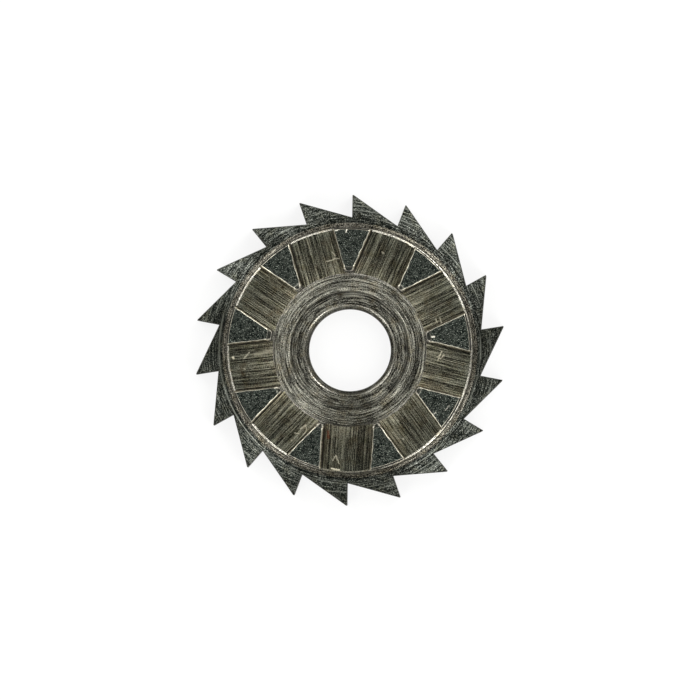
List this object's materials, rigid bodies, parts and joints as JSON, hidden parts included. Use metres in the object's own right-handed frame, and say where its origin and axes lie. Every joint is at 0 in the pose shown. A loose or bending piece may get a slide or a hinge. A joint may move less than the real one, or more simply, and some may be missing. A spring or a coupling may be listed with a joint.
{
  "type": "column wheel",
  "caption": "Flat ratchet plate with saw teeth that carries a ring of three-cornered columns round a bored hub; it steps round and its columns lift or drop levers.",
  "frame": {"origin": "centre of the bore on the flat underside", "axes": "+Z along the bore's axis towards the columns, +X through the steep face of the first ratchet tooth"},
  "size_m": [0.0058, 0.0056, 0.0016],
  "materials": {
    "steel": "hardened carbon steel, turned and milled, dark with age, with tool marks and bright worn edges"
  },
  "bodies": {
    "root": {"column_wheel": "steel"}
  },
  "joints": []
}
